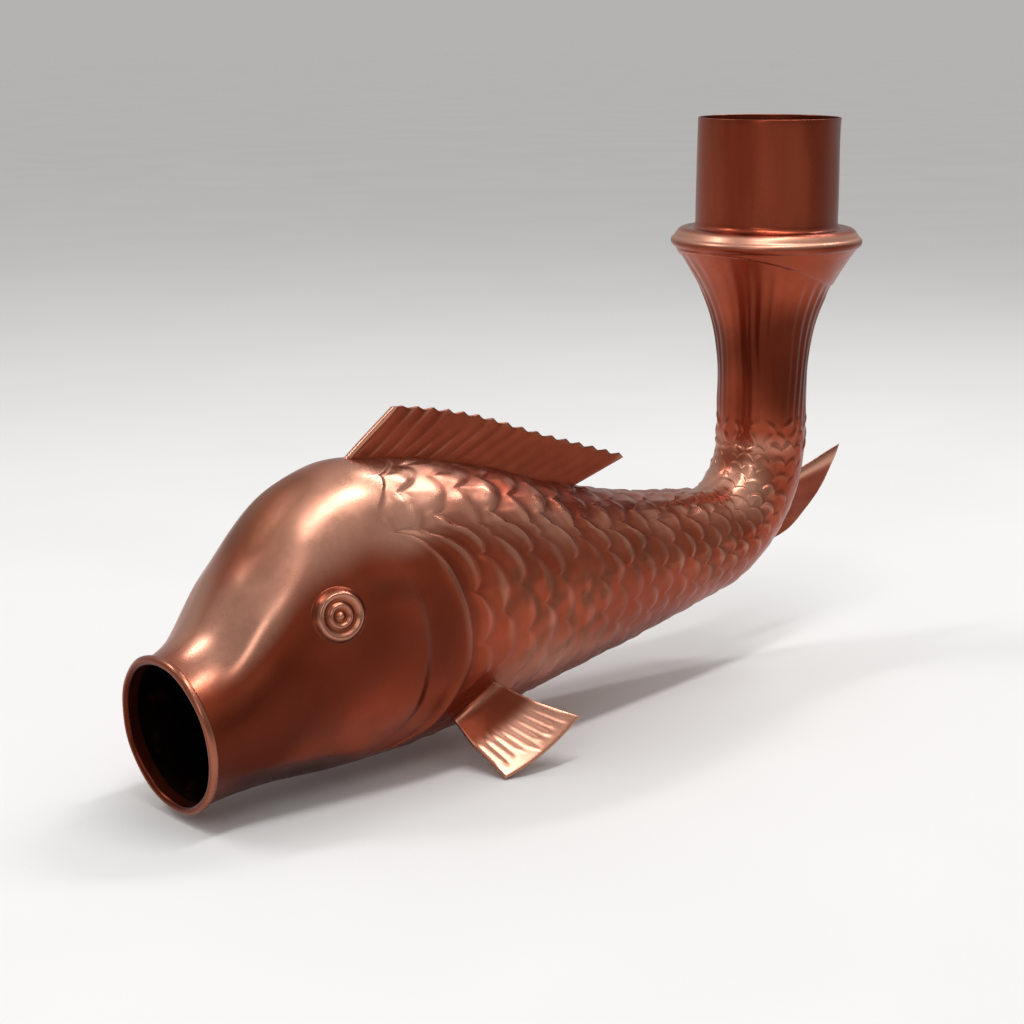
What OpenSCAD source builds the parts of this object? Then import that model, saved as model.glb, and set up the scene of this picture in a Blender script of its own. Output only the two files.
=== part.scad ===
// Fish-shaped gutter spout in copper sheet. Rain water enters the collar at
// the top, turns through the ribbed tail and leaves by the round mouth.
// The fish is symmetric about the XZ plane and its head points to -X.
// The origin is the centre of the collar's top rim, and +Z points up.

/* [Sheet] */
// Thickness of the copper sheet
sheet = 1; // [0.8:0.1:1.5]

/* [Inlet collar] */
// Bore of the inlet, a sliding fit for a downpipe of 100 mm
inlet_bore = 100.4; // [94:0.2:106]
// Height from the top rim down to the seam with the tail
collar_h = 92; // [60:1:160]
// Outer diameter of the bead at the seam
bead_d = 138; // [135:1:150]
// Radius of the rounded nose of the bead
bead_r = 4; // [3:0.5:7]
// Radius of the hollow fillet above the bead
fillet_r = 5; // [3:0.5:10]
// Slope of the collar between the fillet and the nose, from the vertical
flange_angle = 64; // [50:1:75]
// Angle that the nose turns under, down to the seam
nose_angle = 75; // [30:1:80]

/* [Tail] */
// Height of the tail from the end of the bend up to the seam
tail_h = 142; // [120:1:200]
// Outer diameter of the neck, where the tail is narrowest
neck_d = 65; // [58:1:72]
// Height over which the tail flares out to the seam
flare_h = 100; // [70:1:110]
// Power of the flare: higher keeps the neck straight for longer
flare_power = 2.4; // [2:0.1:3.5]
// Height of the ribs above the sheet
rib_h = 1.5; // [0.4:0.1:2]
// How far the edge of the tail fin drops below the seam at the outer side
fin_edge_drop = 26; // [10:1:40]
// Height of the plain strip between the edge of the tail fin and the seam
fin_edge_step = 1; // [0.4:0.1:2]

/* [Body path] */
// Radius of the bend between the body and the tail, on the path
bend_r = 72; // [64:1:90]
// Length of the straight body path from the mouth to the bend
body_l = 453; // [440:1:480]
// Downward slope of the body path toward the mouth, in degrees
body_pitch = 5; // [0:1:15]

/* [Mouth] */
// Outer diameter of the shell at the mouth
mouth_d = 94; // [86:1:100]
// How far the centre of the mouth lies above the body path
mouth_up = 3; // [0:1:5]
// Radius of the rolled lip
lip_r = 2.8; // [2.4:0.1:4.5]
// Length of the sleeve of the rim inside the mouth
sleeve_l = 4; // [2:0.5:8]
// Gap between the sleeve and the inside of the shell
sleeve_gap = 1.8; // [1.4:0.1:2.5]

/* [Section 1, throat of the mouth] */
// Distance from the mouth along the path
throat_at = 20; // [14:1:30]
// Height of the back above the path
throat_back = 58; // [50:1:64]
// Depth of the belly below the path
throat_belly = 43; // [40:1:47]
// Half of the width
throat_half = 47; // [42:1:52]

/* [Section 2, snout] */
// Distance from the mouth along the path
snout_at = 50; // [40:1:60]
// Height of the back above the path
snout_back = 92; // [80:1:100]
// Depth of the belly below the path
snout_belly = 45; // [40:1:50]
// Half of the width
snout_half = 53; // [46:1:60]

/* [Section 3, brow] */
// Distance from the mouth along the path
brow_at = 85; // [75:1:95]
// Height of the back above the path
brow_back = 124; // [112:1:130]
// Depth of the belly below the path
brow_belly = 50; // [44:1:56]
// Half of the width
brow_half = 60; // [52:1:68]

/* [Section 4, nape] */
// Distance from the mouth along the path
nape_at = 125; // [115:1:135]
// Height of the back above the path
nape_back = 138; // [128:1:144]
// Depth of the belly below the path
nape_belly = 54; // [48:1:60]
// Half of the width
nape_half = 64; // [56:1:72]

/* [Section 5, shoulder] */
// Distance from the mouth along the path
shoulder_at = 175; // [165:1:190]
// Height of the back above the path
shoulder_back = 131; // [120:1:138]
// Depth of the belly below the path
shoulder_belly = 55; // [48:1:62]
// Half of the width
shoulder_half = 65; // [56:1:72]

/* [Section 6, flank] */
// Distance from the mouth along the path
flank_at = 240; // [220:1:260]
// Height of the back above the path
flank_back = 112; // [100:1:120]
// Depth of the belly below the path
flank_belly = 53; // [46:1:60]
// Half of the width
flank_half = 62; // [54:1:70]

/* [Section 7, loin] */
// Distance from the mouth along the path
loin_at = 320; // [300:1:340]
// Height of the back above the path
loin_back = 79; // [70:1:90]
// Depth of the belly below the path
loin_belly = 47; // [42:1:52]
// Half of the width
loin_half = 54; // [46:1:60]

/* [Section 8, root of the tail] */
// Distance from the mouth along the path
root_at = 400; // [385:1:425]
// Height of the back above the path
root_back = 54; // [48:1:60]
// Depth of the belly below the path
root_belly = 41; // [36:1:46]
// Half of the width
root_half = 44; // [38:1:50]

/* [Section 9, wrist of the tail] */
// Distance from the mouth along the path
wrist_at = 475; // [450:1:500]
// Height of the back above the path
wrist_back = 39; // [35:1:44]
// Depth of the belly below the path
wrist_belly = 34; // [31:1:40]
// Half of the width
wrist_half = 35; // [32:1:40]

/* [Head] */
// Distance from the mouth to the edge of the head skin above the gill cover
head_l = 134; // [126:1:145]
// How far the head skin reaches further back along the nape, under the dorsal fin
nape_reach = 44; // [0:1:50]
// Angle from the back over which the nape tapers off
nape_span = 40; // [30:1:45]
// How far the gill cover reaches behind the edge above it
gill_reach = 43; // [30:1:50]
// Angle of the middle of the gill cover, from the back
gill_mid = 98; // [94:1:106]
// Half of the angle that the gill cover spans
gill_span = 46; // [40:1:48]
// Height of the free edge of the gill cover
gill_h = 3.4; // [1:0.1:5]
// Height of the cheek in front of the gill cover
cheek_h = 1.9; // [0:0.1:3]
// Height of the ridge along the lower jaw
jaw_h = 2; // [0:0.1:3]
// Height of the fold that runs from the mouth to above the eye
fold_h = 2; // [0:0.1:3]

/* [Scales] */
// Rings of scales between the head and the tail
rings = 24; // [16:1:26]
// Length of the last scale as a share of the first
scale_taper = 0.5; // [0.4:0.05:0.8]
// Height of the free edge of a scale as a share of its length
scale_lift = 0.125; // [0.04:0.005:0.15]
// Width of the slope behind a free edge as a share of the length of the scale
edge_share = 0.2; // [0.1:0.02:0.26]

/* [Eyes] */
// Diameter of the eye disc
eye_d = 36; // [30:1:42]
// Height of the disc above the cheek, under its rings
eye_h = 1; // [0.5:0.5:3]
// Distance from the mouth to the eye, along the path
eye_at = 87; // [80:1:95]
// Angle of the eye, from the back
eye_angle = 72; // [66:1:80]

/* [Dorsal fin] */
// Distance from the mouth to the front of the fin, along the path
dorsal_at = 142; // [136:1:155]
// Length of the fin along the back
dorsal_l = 190; // [160:1:205]
// Height of the fin above the back
dorsal_h = 33; // [24:1:45]
// How far the rays lean toward the tail
dorsal_lean = 40; // [20:1:55]
// How far the last ray hangs past the root of the fin
dorsal_tip = 50; // [30:1:60]
// Rays of the fin
dorsal_rays = 16; // [12:1:20]
// Thickness of the fin over its rays
dorsal_t = 3.6; // [2.4:0.2:5]
// Thickness of the bead on the front edge of the fin
dorsal_edge_t = 4; // [2.4:0.2:6]

/* [Fin under the tail] */
// Angle on the bend where the root of the fin begins
anal_from = 42; // [35:1:48]
// Angle on the bend where the root of the fin ends
anal_to = 70; // [62:1:76]
// Angle on the bend of the tip of the fin
anal_tip_angle = 84; // [78:1:88]
// Reach of the tip beyond the belly line
anal_reach = 60; // [40:1:70]
// Thickness of the fin over its rays
anal_t = 4; // [2.4:0.2:5]
// Rays of the fin
anal_rays = 6; // [4:1:8]

/* [Pectoral fins] */
// Distance from the mouth to the front of the root, along the path
pectoral_at = 179; // [172:1:190]
// Angle of the front of the root, from the back
pectoral_angle = 142; // [136:1:150]
// Length of the root along the path
pectoral_root_l = 27; // [20:1:34]
// Angle that the root climbs toward the back
pectoral_rise = 18; // [10:1:24]
// Length of the fin from the root to its outer edge
pectoral_l = 57; // [45:1:75]
// Rays of the fin
pectoral_rays = 9; // [6:1:11]
// Thickness of the fin over its rays
pectoral_t = 2.6; // [1.8:0.2:4]

/* [Hidden] */
$fn = 96;

copper = [0.72, 0.40, 0.28];

// Facets of one half of the shell, from the back round to the belly
scale_cols = 4;
cols = 8 * scale_cols;
inner_cols = 12;
col_angle = 180 / cols;

// Key points of the path
bend_l = bend_r * (90 - body_pitch) * PI / 180;
path_l = body_l + bend_l + tail_h;
neck_z = -collar_h - tail_h;
bend_x = -bend_r + bend_r * sin(body_pitch);
bend_z = neck_z - bend_r * cos(body_pitch);
mouth_r = mouth_d / 2;
neck_r = neck_d / 2;
nose_r = bead_d / 2;
seam_r = nose_r - bead_r * (1 - cos(nose_angle));
scales_end = body_l + bend_l;

function lerp(a, b, t) = a + (b - a) * t;
function clamp(x, lo, hi) = max(lo, min(hi, x));
function ease(x) = let (t = clamp(x, 0, 1)) t * t * (3 - 2 * t);
function arch(x) = sqrt(max(0, 1 - x * x));
function bell(x) = exp(-x * x);

// Slope of the path at a distance s from the mouth, in degrees
function path_angle(s) =
    clamp(body_pitch + (s - body_l) / bend_r * 180 / PI, body_pitch, 90);

// Point of the path at a distance s from the mouth, as X and Z
function path_at(s) =
    let (a = path_angle(s))
    s <= body_l ? [bend_x - (body_l - s) * cos(a), bend_z - (body_l - s) * sin(a)]
    : [-bend_r + bend_r * sin(a), neck_z - bend_r * cos(a) + max(0, s - scales_end)];

// Sections of the shell: distance from the mouth, back, belly and half width
sections = [
    [0, mouth_r + mouth_up, mouth_r - mouth_up, mouth_r],
    [throat_at, throat_back, throat_belly, throat_half],
    [snout_at, snout_back, snout_belly, snout_half],
    [brow_at, brow_back, brow_belly, brow_half],
    [nape_at, nape_back, nape_belly, nape_half],
    [shoulder_at, shoulder_back, shoulder_belly, shoulder_half],
    [flank_at, flank_back, flank_belly, flank_half],
    [loin_at, loin_back, loin_belly, loin_half],
    [root_at, root_back, root_belly, root_half],
    [wrist_at, wrist_back, wrist_belly, wrist_half],
    [scales_end, neck_r, neck_r, neck_r]
];
last = len(sections) - 1;

// Growth of column k per millimetre of path between sections i and i + 1
function rise(i, k) =
    (sections[i + 1][k] - sections[i][k]) / (sections[i + 1][0] - sections[i][0]);
function gap(i) = sections[i + 1][0] - sections[i][0];
function knot_slope(i, k) =
    i == 0 ? 2 * rise(0, k) - knot_slope(1, k)
    : i == last ? 0
    : (rise(i - 1, k) * gap(i) + rise(i, k) * gap(i - 1)) / (gap(i - 1) + gap(i));
slopes = [for (i = [0:last]) [for (k = [0:3]) k == 0 ? 1 : knot_slope(i, k)]];

function section_below(s) =
    min(last - 1, len([for (c = sections) if (c[0] <= s) 1]) - 1);

// Flare of the tail toward the seam, added to every radius
function flare(s) =
    (seam_r - neck_r) * pow(clamp(1 - (path_l - s) / flare_h, 0, 1), flare_power);

// Back, belly and half width at a distance s, on a smooth curve through the sections
function size_at(s) =
    let (
        i = section_below(max(0, s)),
        h = gap(i),
        t = clamp((s - sections[i][0]) / h, 0, 1),
        f = flare(s)
    )
    [for (k = [1:3])
        (2 * pow(t, 3) - 3 * pow(t, 2) + 1) * sections[i][k]
        + (pow(t, 3) - 2 * pow(t, 2) + t) * h * slopes[i][k]
        + (3 * pow(t, 2) - 2 * pow(t, 3)) * sections[i + 1][k]
        + (pow(t, 3) - pow(t, 2)) * h * slopes[i + 1][k]
        + f];

// Point of the left flank at angle a from the back, on sizes [back, belly, half width]
function flank_point(s, a, size) =
    let (
        p = path_at(s),
        t = path_angle(s),
        off = (size[0] - size[1]) / 2 + (size[0] + size[1]) / 2 * cos(a)
    )
    [p[0] - sin(t) * off, -size[2] * sin(a), p[1] + cos(t) * off];

// Point of the outer face, raised by e
function skin(s, a, e = 0) = flank_point(s, a, size_at(s) + [e, e, e]);

// Point of the inner face: one sheet inward, measured square to the wall
function lining(s, a) =
    let (
        size = size_at(s),
        grow = (size_at(s + 1) - size_at(max(0, s - 1))) / (s < 1 ? 1 + s : 2)
    )
    flank_point(s, a, [for (k = [0:2]) size[k] - sheet * sqrt(1 + pow(grow[k], 2))]);

// Edge of the head skin, nape and gill cover, as a distance from the mouth
function head_reach(a) =
    gill_reach * arch((a - gill_mid) / gill_span) + nape_reach * max(0, 1 - a / nape_span);
function head_edge(a) = head_l + head_reach(a);

// Distance of ring i of scales as a share of the scaled length
taper_step = pow(scale_taper, 1 / rings);
function ring_share(i) = (1 - pow(taper_step, i)) / (1 - pow(taper_step, rings));
function ring_at(i, a) =
    let (t = ring_share(i))
    lerp(head_l, scales_end, t) + head_reach(a) * pow(1 - t, 2);

// Round outline of the free edge of ring i at column c: 0 between two scales and 1 at
// the middle of one
function scallop(i, c) =
    let (along = (c + (i % 2) * scale_cols / 2) % scale_cols)
    arch(2 * along / scale_cols - 1);
scallop_share = 0.7;
function ring_l(i, a) = ring_at(i + 1, a) - ring_at(i, a);
function edge_at(i, c) =
    ring_at(i - 1, c * col_angle)
        + ring_l(i - 1, c * col_angle) * (1 - scallop_share * (1 - scallop(i, c)));

// Edge of the ribbed tail fin, which drops toward the outer side of the bend
fin_edge_margin = 3;
fin_edge_slope = 2;
function fin_edge(a) =
    path_l - fin_edge_margin - fin_edge_drop * ease((a - 15) / 110);

// Relief fades out at the two soldered seams
function seam_fade(c) = min(1, 0.4 * min(c, cols - c));

// The relief is pressed flat where a pectoral fin is soldered on
seat_w = 9;
function seat(s, a) =
    let (
        u = clamp((s - pectoral_at) / pectoral_root_l, 0, 1),
        off_s = s - pectoral_at - u * pectoral_root_l,
        off_a = (a - pectoral_angle + u * pectoral_rise) * PI / 180 * shoulder_half
    )
    1 - bell(norm([off_s, off_a]) / seat_w);

// Relief of the head at share t of its length: the fold above the eye, the jaw,
// the cheek that ends at the cheek line, and the gill cover behind it
cheek_line = 0.81;
cheek_start = 0.58;
gill_slope = 4;
function head_relief(t, a) =
    let (
        s = t * head_edge(a),
        on_gill = ease((a - 48) / 16) * ease((162 - a) / 22),
        jaw_angle = 100 + 50 * sqrt(s / 160),
        fade = ease(s / 14) * ease((cheek_line - t) / 0.3)
    )
    t <= cheek_line ? on_gill * cheek_h * ease((t - cheek_start) / (cheek_line - cheek_start))
        + fade * (jaw_h * bell((a - jaw_angle) / 8) + fold_h * bell((a - 54) / 8))
    : lerp(0.2, 1, (t - cheek_line) / (1 - cheek_line)) * lerp(1.1, gill_h, on_gill);

// Rows of facets from the mouth to the seam: zone, then its share or ring, then level
head_shares = [0, 0.05, 0.12, 0.2, 0.3, 0.4, 0.5, 0.6, 0.7, cheek_line, 0.84, 1];
tail_shares = [0.07, 0.3, 0.5, 0.66, 0.79, 0.9, 1];
tail_start = 4;
rows = concat(
    [for (t = head_shares) ["head", t, 1]],
    [["head_low", 1, 0]],
    [for (i = [1:rings]) for (level = [1, 0]) ["ring", i, level]],
    [for (t = tail_shares) ["tail", t, 1]],
    [["tail_low", 1, 0], ["tail_low", 0.4, 0], ["tail_low", 0, 0]]
);

function row_s(r, c) =
    let (zone = rows[r][0], t = rows[r][1], a = c * col_angle)
    zone == "head" ? t * head_edge(a)
    : zone == "head_low" ? head_edge(a) + gill_slope
    : zone == "ring" ? edge_at(t, c) + (1 - rows[r][2]) * edge_share * ring_l(t - 1, a)
    : zone == "tail" ? lerp(scales_end + tail_start, fin_edge(a), t)
    : lerp(path_l, fin_edge(a) + fin_edge_slope, t);

function row_relief(r, c) =
    let (zone = rows[r][0], t = rows[r][1], a = c * col_angle)
    zone == "head" ? head_relief(t, a) * (t > cheek_line ? seam_fade(c) : 1)
    : zone == "ring" ? rows[r][2] * seam_fade(c) * seat(row_s(r, c), a)
        * scale_lift * ring_l(t - 1, a) * lerp(0.5, 1, scallop(t, c))
    : zone == "tail" ? rib_h * (c % 2) * ease(t / 0.25) * seam_fade(c)
    : zone == "tail_low" ? fin_edge_step * ease(t / 0.5) * seam_fade(c)
    : 0;

outer_points = [
    for (r = [0:len(rows) - 1]) for (c = [0:cols])
        skin(row_s(r, c), c * col_angle, row_relief(r, c))
];

// Stations of the inner face, closer together where the shell curves most
body_steps = 10;
bend_steps = 4;
inner_steps = concat(
    [for (k = [0:body_steps]) body_l * pow(k / body_steps, 1.35)],
    [for (k = [1:bend_steps]) body_l + bend_l * k / bend_steps],
    [for (t = [0.3, 0.52, 0.7, 0.83, 0.93, 1]) scales_end + t * tail_h]
);
inner_points = [
    for (s = inner_steps) for (c = [0:inner_cols]) lining(s, c * 180 / inner_cols)
];

// Triangles of a grid of points, whose first point has the index base
function grid_faces(nr, nc, base, flip) = [
    for (r = [0:nr - 2]) for (c = [0:nc - 2])
        let (p = base + r * nc + c, q = p + nc)
        for (f = [[p, p + 1, q + 1], [p, q + 1, q]])
            flip ? [f[2], f[1], f[0]] : f
];

// Triangles between two lines of points, where line u and line v share one direction.
// Each line is a list of [index, distance], and the distances only grow.
function stitch(u, v, flip, i = 0, j = 0) =
    i == len(u) - 1 && j == len(v) - 1 ? []
    : let (
        on_u = j == len(v) - 1 || (i < len(u) - 1 && u[i + 1][1] <= v[j + 1][1]),
        f = on_u ? [u[i][0], u[i + 1][0], v[j][0]] : [u[i][0], v[j + 1][0], v[j][0]]
    )
    concat([flip ? [f[2], f[1], f[0]] : f], stitch(u, v, flip, on_u ? i + 1 : i, on_u ? j : j + 1));

outer_count = len(rows) * (cols + 1);
function outer_line(c) =
    [for (r = [0:len(rows) - 1]) [r * (cols + 1) + c, row_s(r, c)]];
function inner_line(c) =
    [for (r = [0:len(inner_steps) - 1]) [outer_count + r * (inner_cols + 1) + c, inner_steps[r]]];
function outer_end(r) = [for (c = [0:cols]) [r * (cols + 1) + c, c / cols]];
function inner_end(r) =
    [for (c = [0:inner_cols]) [outer_count + r * (inner_cols + 1) + c, c / inner_cols]];

// One pressed half of the shell, with its scales, gill cover and ribs
module half_shell() {
    polyhedron(
        points = concat(outer_points, inner_points),
        faces = concat(
            grid_faces(len(rows), cols + 1, 0, true),
            grid_faces(len(inner_steps), inner_cols + 1, outer_count, false),
            stitch(outer_line(0), inner_line(0), true),
            stitch(outer_line(cols), inner_line(inner_cols), false),
            stitch(outer_end(0), inner_end(0), false),
            stitch(outer_end(len(rows) - 1), inner_end(len(inner_steps) - 1), true)
        ),
        convexity = 8
    );
}

// A plate between two grids of points with the same number of rows and columns
module plate(front, back) {
    nr = len(front);
    nc = len(front[0]);
    n = nr * nc;
    function rim(u, flip) = [
        for (k = [0:len(u) - 2])
            for (f = [[u[k], u[k + 1], n + u[k + 1]], [u[k], n + u[k + 1], n + u[k]]])
                flip ? [f[2], f[1], f[0]] : f
    ];
    polyhedron(
        points = concat([for (line = front) each line], [for (line = back) each line]),
        faces = concat(
            grid_faces(nr, nc, 0, false),
            grid_faces(nr, nc, n, true),
            rim([for (c = [0:nc - 1]) c], true),
            rim([for (c = [0:nc - 1]) (nr - 1) * nc + c], false),
            rim([for (r = [0:nr - 1]) r * nc], false),
            rim([for (r = [0:nr - 1]) r * nc + nc - 1], true)
        ),
        convexity = 6
    );
}

module body_left() {
    color(copper)
        half_shell();
}

module body_right() {
    color(copper)
        mirror([0, 1, 0])
            half_shell();
}

// Points of an arc, from angle a to angle b
function arc(x, y, r, a, b, n) =
    [for (k = [0:n]) [x + r * cos(lerp(a, b, k / n)), y + r * sin(lerp(a, b, k / n))]];

// Line of the collar's wall from the top rim to the seam, moved inward by d
collar_r = inlet_bore / 2 + sheet;
nose_z = -collar_h + bead_r * sin(nose_angle);
flange_l = nose_r - bead_r * (1 - cos(flange_angle)) - collar_r - fillet_r * (1 - cos(flange_angle));
fillet_z = nose_z + (bead_r + fillet_r) * sin(flange_angle) + flange_l / tan(flange_angle);
function collar_line(d) = concat(
    [[collar_r - d, 0]],
    arc(collar_r + fillet_r, fillet_z, fillet_r + d, 180, 180 + flange_angle, 6),
    arc(nose_r - bead_r, nose_z, bead_r - d, flange_angle, -nose_angle, 9),
    d == 0 ? [] : [[seam_r - d / cos(nose_angle), -collar_h]]
);

module inlet_collar() {
    outer = collar_line(0);
    inner = collar_line(sheet);
    color(copper)
        rotate_extrude()
            polygon(concat(outer, [for (k = [len(inner) - 1:-1:0]) inner[k]]));
}

// Rolled lip of the mouth with a short sleeve inside the shell. It is turned
// about the centre of the mouth, in the plane where the path starts.
sleeve_r = mouth_r - sheet - sleeve_gap;
lip_mid = sleeve_r - sheet + lip_r;
lip_drop = 0.7 * lip_r;
module mouth_rim() {
    p = path_at(0) + mouth_up * [-sin(body_pitch), cos(body_pitch)];
    color(copper)
        translate([p[0], 0, p[1]])
            rotate([0, 90 - body_pitch, 0])
                rotate_extrude()
                    polygon(concat(
                        [[sleeve_r, 0], [sleeve_r, sleeve_l], [sleeve_r - sheet, sleeve_l]],
                        arc(lip_mid, -lip_drop, lip_r, 180, 360 + asin(lip_drop / lip_r), 16)
                    ));
}

// Place and direction of the eye: its foot on the cheek and the angles of its axis
eye_foot = skin(eye_at, eye_angle, 0);
eye_cross = cross(
    skin(eye_at, eye_angle + 1, 0) - skin(eye_at, eye_angle - 1, 0),
    skin(eye_at + 1, eye_angle, 0) - skin(eye_at - 1, eye_angle, 0)
);
eye_axis = eye_cross / norm(eye_cross);

// Raised rings of the eye, as shares of its radius and heights above its rim
eye_root = 10;
module eye_shape() {
    r = eye_d / 2;
    rotate_extrude()
        polygon(concat(
            [[0, -eye_root], [r, -eye_root]],
            arc(r - 4, eye_h, 4, 0, 100, 5),
            [[r * 0.67, eye_h + 3.2]],
            arc(r * 0.53, eye_h + 2.4, 1.9, 40, 165, 5),
            [[r * 0.34, eye_h + 1.2]],
            arc(0, eye_h + 0.6, r * 0.27, 5, 90, 4)
        ));
}

// The part of the shell's facets that lies under the eye, with the disc's margin
eye_margin = 3;
function head_row(s) = len([for (t = head_shares) if (t * head_edge(eye_angle) < s) 1]);
eye_rows = [head_row(eye_at - eye_d / 2 - eye_margin) - 1, head_row(eye_at + eye_d / 2 + eye_margin)];
eye_turn = (eye_d / 2 + eye_margin) / brow_half * 180 / PI;
eye_cols = [floor((eye_angle - eye_turn) / col_angle), ceil((eye_angle + eye_turn) / col_angle)];
function skin_patch(depth) = [
    for (r = [eye_rows[0]:eye_rows[1]]) [
        for (c = [eye_cols[0]:eye_cols[1]])
            skin(row_s(r, c), c * col_angle, depth == 0 ? row_relief(r, c) : -depth)
    ]
];

module eye() {
    difference() {
        translate(eye_foot)
            rotate([0, acos(eye_axis[2]), atan2(eye_axis[1], eye_axis[0])])
                eye_shape();
        plate(skin_patch(2 * eye_root), skin_patch(0));
    }
}

module eye_left() {
    color(copper)
        eye();
}

module eye_right() {
    color(copper)
        mirror([0, 1, 0])
            eye();
}

// Half thickness of a ribbed fin at column k: rays stand out on odd columns
function ray(k, t) = t / 2 * (k % 2 == 1 ? 1 : 0.6);

// Dorsal fin: upright plate on the back with slanting rays and a toothed edge
tooth_h = 2.8;
function back_point(s, up) =
    let (p = skin(s, 0, up)) [p[0], p[2]];
function dorsal_point(u, v, tooth) =
    let (
        s = dorsal_at + u * dorsal_l,
        tip_s = s + lerp(dorsal_lean, dorsal_tip, u),
        foot = back_point(s, 0.1),
        top = back_point(tip_s, dorsal_h * (1 - 0.25 * pow(u, 4)) + tooth)
    )
    lerp(foot, top, v);

module dorsal_fin() {
    n = 2 * dorsal_rays;
    function side(way) = [
        for (v = [0, 0.5, 1]) [
            for (k = [0:n])
                let (
                    p = dorsal_point(k / n, v, v == 1 ? tooth_h * (k % 2) : 0),
                    half = k == 0 ? dorsal_edge_t / 2 : ray(k, dorsal_t)
                )
                [p[0], way * half * (v == 0 ? 0.8 : lerp(1, 0.6, v)), p[1]]
        ]
    ];
    color(copper)
        plate(side(1), side(-1));
}

// Fin under the tail: leaf on the outer side of the bend, tip pointing up
function anal_point(u, v) =
    let (
        root = skin(body_l + (lerp(anal_from, anal_to, u) - body_pitch) * PI / 180 * bend_r, 180, 0.1),
        tip_a = lerp(anal_from, anal_tip_angle, u),
        tip_r = bend_r + lerp(wrist_belly, neck_r, 0.7) + 1 + anal_reach * pow(u, 0.75),
        tip = [-bend_r + tip_r * sin(tip_a), neck_z - tip_r * cos(tip_a)]
    )
    [lerp(root[0], tip[0], v), lerp(root[2], tip[1], v)];

module anal_fin() {
    n = 2 * anal_rays;
    function side(way) = [
        for (v = [0, 0.5, 1]) [
            for (k = [0:n])
                let (p = anal_point(k / n, v))
                [p[0], way * ray(k, anal_t) * lerp(1, 0.5, v), p[1]]
        ]
    ];
    color(copper)
        plate(side(-1), side(1));
}

// Pectoral fin: fan with a crosswise bend, its root on the belly side of the flank.
// The first and the last ray have their own direction, and the outer part is
// turned down by a bend across the rays.
fan_front = [0.14, -0.72, -0.68];
fan_rear = [0.67, -0.57, -0.48];
fan_bend = [0, -10, 9];
fan_bend_at = 0.45;
fan_front_share = 0.91;
module pectoral_fin() {
    n = 2 * pectoral_rays;
    function mid(u, v) =
        let (
            foot = skin(pectoral_at + u * pectoral_root_l, pectoral_angle - u * pectoral_rise),
            d = lerp(fan_front, fan_rear, u)
        )
        foot + d / norm(d) * pectoral_l * v * lerp(fan_front_share, 1, u)
            + fan_bend * max(0, v - fan_bend_at);
    function side(way) = [
        for (v = [0, 0.25, fan_bend_at, 1]) [
            for (k = [0:n])
                let (
                    u = k / n,
                    across = cross(mid(1, 0.5) - mid(0, 0.5), mid(0.5, v + 0.05) - mid(0.5, v - 0.05))
                )
                mid(u, v) + across / norm(across) * way * ray(k, pectoral_t)
        ]
    ];
    plate(side(-1), side(1));
}

module pectoral_fin_left() {
    color(copper)
        pectoral_fin();
}

module pectoral_fin_right() {
    color(copper)
        mirror([0, 1, 0])
            pectoral_fin();
}

inlet_collar();
body_left();
body_right();
mouth_rim();
eye_left();
eye_right();
dorsal_fin();
anal_fin();
pectoral_fin_left();
pectoral_fin_right();
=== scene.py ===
import bpy
import numpy as np
from mathutils import Matrix, Vector


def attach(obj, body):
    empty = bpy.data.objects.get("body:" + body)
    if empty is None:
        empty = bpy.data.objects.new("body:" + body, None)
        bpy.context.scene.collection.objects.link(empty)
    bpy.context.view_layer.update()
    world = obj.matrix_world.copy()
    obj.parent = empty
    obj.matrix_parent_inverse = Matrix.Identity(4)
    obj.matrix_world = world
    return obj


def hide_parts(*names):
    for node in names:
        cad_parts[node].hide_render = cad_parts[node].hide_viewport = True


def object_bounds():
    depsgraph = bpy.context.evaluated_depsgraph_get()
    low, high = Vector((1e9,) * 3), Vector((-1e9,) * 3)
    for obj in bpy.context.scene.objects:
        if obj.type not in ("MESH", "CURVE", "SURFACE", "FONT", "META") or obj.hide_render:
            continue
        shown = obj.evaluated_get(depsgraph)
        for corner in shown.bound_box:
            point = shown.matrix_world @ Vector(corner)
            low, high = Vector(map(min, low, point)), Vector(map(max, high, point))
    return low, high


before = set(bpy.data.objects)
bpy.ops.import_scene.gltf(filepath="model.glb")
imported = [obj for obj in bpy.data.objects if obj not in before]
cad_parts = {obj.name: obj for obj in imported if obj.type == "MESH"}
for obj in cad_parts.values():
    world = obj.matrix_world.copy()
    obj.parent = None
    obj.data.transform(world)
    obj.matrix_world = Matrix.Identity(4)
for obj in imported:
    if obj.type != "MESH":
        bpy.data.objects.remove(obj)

CAD_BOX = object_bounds()
MM = 0.001

# The shell's shape

BODY_L = 453.0
BEND_R = 72.0
PITCH = 5.0
TAIL_H = 142.0
COLLAR_H = 92.0
SHEET = 1.0

# Distance from the mouth, height of the back, depth of the belly, half of the width
SECTIONS = np.array([
    (0, 50, 44, 47), (20, 58, 43, 47), (50, 92, 45, 53), (85, 124, 50, 60),
    (125, 138, 54, 64), (175, 131, 55, 65), (240, 112, 53, 62), (320, 79, 47, 54),
    (400, 54, 41, 44), (475, 39, 34, 35), (0, 32.5, 32.5, 32.5),
])
BEND_L = BEND_R * np.radians(90 - PITCH)
SCALES_END = BODY_L + BEND_L
PATH_L = SCALES_END + TAIL_H
SECTIONS[-1, 0] = SCALES_END
NECK_Z = -COLLAR_H - TAIL_H
NECK_R = SECTIONS[-1, 3]

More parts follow.
